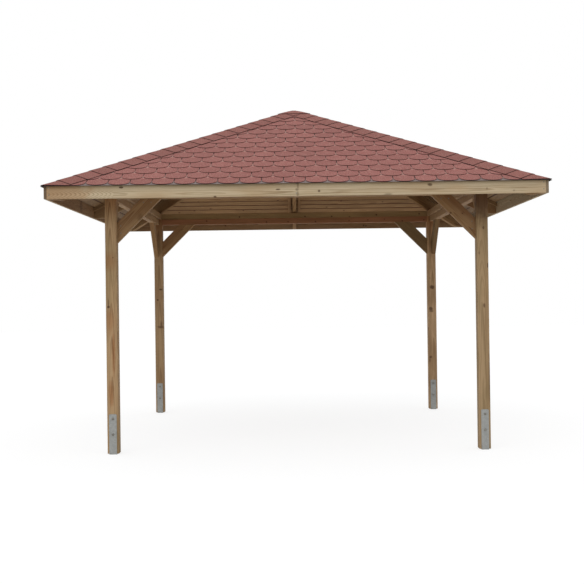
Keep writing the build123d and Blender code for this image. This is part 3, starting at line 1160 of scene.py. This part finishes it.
def placeEnds(corner):
    # two bolts through an anchor, heads to the front and nuts to the back, each turned by chance
    low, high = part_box(corner + "_anchor")
    middle = (low.x + high.x) / 2
    points, faces, total = [], [], 0
    for drop in (boltForm["fromTop"], boltForm["fromTop"] + boltForm["spacing"]):
        for nut in (False, True):
            made, madeFaces = boltEnd(nut)
            spin = dice.uniform(0, math.pi / 3)
            x = made[:, 0] * math.cos(spin) - made[:, 1] * math.sin(spin)
            z = made[:, 0] * math.sin(spin) + made[:, 1] * math.cos(spin)
            face = high.y + made[:, 2] if nut else low.y - made[:, 2]
            points.append(triples(middle + x, face, high.z - drop + z))
            if nut:
                madeFaces = [loop[::-1] for loop in madeFaces]
            faces += shiftFaces(madeFaces, total)
            total += len(made)
    return np.concatenate(points), faces


for corner in corners:
    points, faces = placeEnds(corner)
    makePiece(corner + "Bolts", points, faces, boltSteel)


screwForm = {
    "radius": 0.0045,
    "high": 0.0012,
    "steps": 12,
    "fascia": [(0.0, 2.088), (0.0, 2.014)] + [(x, z) for x in (-1.872, 1.872) for z in (2.075, 2.022)],
    "brace": [(1.402, 1.756), (1.402, 1.815), (1.218, 2.0), (1.158, 2.0)],
    "braceFaces": (1.474, 1.520),  # the front and back ones, then the side ones
}


def screwPoints(turns):
    # heads on one side's fascia and on the outer faces of its two braces
    form = screwForm
    radius = form["radius"]
    high = form["high"]
    profile = [(0, radius), (high * 0.6, radius), (high, radius * 0.6)]
    head, faces = turnedSolid(profile, form["steps"])
    spots = [(x, -fasciaHalf, z) for x, z in form["fascia"]]
    braceOut = form["braceFaces"][turns % 2]
    spots += [(hand * x, -braceOut, z) for hand in (-1, 1) for x, z in form["brace"]]
    lying = triples(head[:, 0], -head[:, 2], head[:, 1])
    points = np.array(spots)[:, None, :] + lying[None]
    allFaces = [face for copy in range(len(spots)) for face in shiftFaces(faces, copy * len(head))]
    return turnQuarters(points, turns), allFaces


for turns, side in enumerate(sides):
    points, faces = screwPoints(turns)
    makePiece(side + "Screws", points, faces, boltSteel)
print("bolts and screws fitted")


# Camera at the photograph's place, in metres from the gazebo's middle

cameraForm = {
    "place": (-0.0564, -9.684, 1.2237),
    "tilt": 0.315,
    "turn": -0.099,
    "roll": -0.755,
    "lens": 63.43,
    "sensor": 36.0,
    "farthest": 200.0,
}
camera = bpy.data.objects.new("camera", bpy.data.cameras.new("camera"))
scene.collection.objects.link(camera)
scene.camera = camera
camera.data.lens = cameraForm["lens"]
camera.data.sensor_width = cameraForm["sensor"]
camera.data.clip_end = cameraForm["farthest"]
turn = Matrix.Rotation(math.radians(cameraForm["turn"]), 4, "Z")
tilt = Matrix.Rotation(math.radians(90 + cameraForm["tilt"]), 4, "X")
roll = Matrix.Rotation(math.radians(cameraForm["roll"]), 4, "Z")
camera.matrix_world = Matrix.Translation(cameraForm["place"]) @ turn @ tilt @ roll


# Floor, sky and lamp

lightForm = {
    "floorSize": 60.0,
    "floorDrop": 0.001,
    "floorGrey": (0.26, 0.26, 0.26, 1.0),
    "floorGlow": 0.8,
    "bounce": (0.62, 0.56, 0.47, 1.0),  # the floor's colour in the light that it throws back up
    "sky": 0.8,
    "skyColour": (0.97, 0.985, 1.0, 1.0),
    "sun": 0.6,
    "sunAngle": 50.0,
    "sunColour": (1.0, 0.985, 0.96),
    "sunTurn": (55, 0, -20),
}
white = (1.0, 1.0, 1.0, 1.0)


def seenRay(tree):
    # one for camera, mirror and glass rays, nothing for the rays that carry light between surfaces
    path = addNode(tree, "ShaderNodeLightPath").outputs
    seen = calc(tree, "MAXIMUM", path["Is Camera Ray"], path["Is Glossy Ray"])
    return calc(tree, "MAXIMUM", seen, path["Is Transmission Ray"])


def makeFloor():
    # white to the camera, and a warm grey for the light that it throws back up under the roof
    material, tree = newMaterial("paleFloor")[:2]
    tree.nodes.clear()
    pale = firstOut(tree, "ShaderNodeBsdfDiffuse", {"Color": lightForm["floorGrey"]})
    glow = firstOut(tree, "ShaderNodeEmission", {"Color": white, "Strength": lightForm["floorGlow"]})
    lit = firstOut(tree, "ShaderNodeAddShader", {0: pale, 1: glow})
    dull = firstOut(tree, "ShaderNodeBsdfDiffuse", {"Color": lightForm["bounce"]})
    mix = firstOut(tree, "ShaderNodeMixShader", {0: seenRay(tree), 1: dull, 2: lit})
    addNode(tree, "ShaderNodeOutputMaterial", {0: mix})
    half = lightForm["floorSize"] / 2
    mesh = bpy.data.meshes.new("floor")
    spots = [(x * half, y * half, -lightForm["floorDrop"]) for x, y in ((-1, -1), (1, -1), (1, 1), (-1, 1))]
    mesh.from_pydata(spots, [], [(0, 1, 2, 3)])
    mesh.materials.append(material)
    floor = bpy.data.objects.new("floor", mesh)
    scene.collection.objects.link(floor)


def makeSky():
    # an overcast sky, brightest overhead, which the camera sees as plain white
    world = bpy.data.worlds.new("overcast")
    scene.world = world
    world.use_nodes = True
    tree = world.node_tree
    tree.nodes.clear()
    level = fade(tree, split(tree, objectPlace(tree))[2], -0.1, 1.0, 0.85, 1.1)
    level = times(tree, level, lightForm["sky"])
    soft = firstOut(tree, "ShaderNodeBackground", {"Color": lightForm["skyColour"], "Strength": level})
    plain = firstOut(tree, "ShaderNodeBackground", {"Color": white, "Strength": 1.0})
    mix = firstOut(tree, "ShaderNodeMixShader", {0: seenRay(tree), 1: soft, 2: plain})
    addNode(tree, "ShaderNodeOutputWorld", {0: mix})


def makeSun():
    lamp = bpy.data.lights.new("softSun", "SUN")
    lamp.energy = lightForm["sun"]
    lamp.angle = math.radians(lightForm["sunAngle"])
    lamp.color = lightForm["sunColour"]
    sun = bpy.data.objects.new("softSun", lamp)
    sun.rotation_euler = Euler([math.radians(angle) for angle in lightForm["sunTurn"]])
    scene.collection.objects.link(sun)


makeFloor()
makeSky()
makeSun()
scene.view_settings.view_transform = "Standard"
print("camera and lights set")

bpy.context.view_layer.update()
